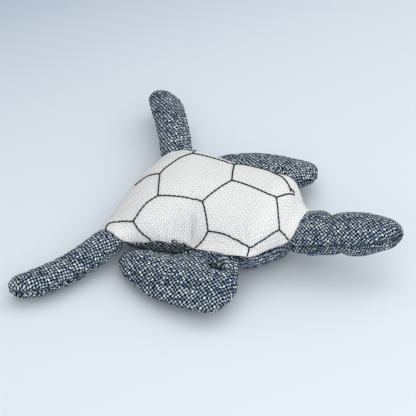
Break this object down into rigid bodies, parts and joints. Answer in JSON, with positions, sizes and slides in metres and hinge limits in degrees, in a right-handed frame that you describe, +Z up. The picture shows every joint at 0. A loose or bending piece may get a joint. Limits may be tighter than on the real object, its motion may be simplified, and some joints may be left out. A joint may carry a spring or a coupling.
{
  "type": "plush turtle",
  "caption": "Stuffed sea turtle with a domed canvas back, a woven belly, and a head and flippers that flex along the body seam.",
  "frame": {"origin": "on the flat patch of the belly, under the middle of the body's length", "axes": "+Z up, +X towards the head, +Y towards the turtle's left side"},
  "size_m": [0.2236, 0.2262, 0.0506],
  "materials": {
    "undyed_canvas": "matte plain weave, off-white",
    "two_tone_weave": "matte coarse basket weave, charcoal and pale blue-grey",
    "polyester_fibre": "loose white fibre"
  },
  "bodies": {
    "body": {"carapace_panel": "undyed_canvas", "plastron_panel": "two_tone_weave", "body_stuffing": "polyester_fibre", "head_sewn_end": "two_tone_weave", "front_right_flipper_sewn_end": "two_tone_weave", "front_left_flipper_sewn_end": "two_tone_weave", "rear_right_flipper_sewn_end": "two_tone_weave", "rear_left_flipper_sewn_end": "two_tone_weave"},
    "head": {"head_upper_panel": "two_tone_weave", "head_lower_panel": "two_tone_weave", "head_stuffing": "polyester_fibre"},
    "front_right_flipper": {"front_right_flipper_upper_panel": "two_tone_weave", "front_right_flipper_lower_panel": "two_tone_weave", "front_right_flipper_stuffing": "polyester_fibre"},
    "front_left_flipper": {"front_left_flipper_upper_panel": "two_tone_weave", "front_left_flipper_lower_panel": "two_tone_weave", "front_left_flipper_stuffing": "polyester_fibre"},
    "rear_right_flipper": {"rear_right_flipper_upper_panel": "two_tone_weave", "rear_right_flipper_lower_panel": "two_tone_weave", "rear_right_flipper_stuffing": "polyester_fibre"},
    "rear_left_flipper": {"rear_left_flipper_upper_panel": "two_tone_weave", "rear_left_flipper_lower_panel": "two_tone_weave", "rear_left_flipper_stuffing": "polyester_fibre"}
  },
  "joints": [
    {"name": "neck_nod", "type": "hinge", "parent": "body", "child": "head", "pos_m": [0.0695, 0, 0.026], "axis": [0, 1, 0], "range_deg": [-40, 40], "stiffness_Nm_per_rad": 0.1},
    {"name": "front_right_flipper_flap", "type": "hinge", "parent": "body", "child": "front_right_flipper", "pos_m": [0.02166, -0.0437, 0.0237], "axis": [0.9966, 0.0139, 0.0807], "range_deg": [-45, 35], "stiffness_Nm_per_rad": 0.1},
    {"name": "front_left_flipper_flap", "type": "hinge", "parent": "body", "child": "front_left_flipper", "pos_m": [0.02191, 0.04369, 0.0237], "axis": [-0.9944, 0.0678, -0.0806], "range_deg": [-45, 35], "stiffness_Nm_per_rad": 0.1},
    {"name": "rear_right_flipper_flap", "type": "hinge", "parent": "body", "child": "rear_right_flipper", "pos_m": [-0.04822, -0.04927, 0.01577], "axis": [0.9198, -0.366, 0.1413], "range_deg": [-40, 35], "stiffness_Nm_per_rad": 0.1},
    {"name": "rear_left_flipper_flap", "type": "hinge", "parent": "body", "child": "rear_left_flipper", "pos_m": [-0.04897, 0.04891, 0.01577], "axis": [-0.861, -0.4911, -0.1322], "range_deg": [-40, 35], "stiffness_Nm_per_rad": 0.1}
  ]
}
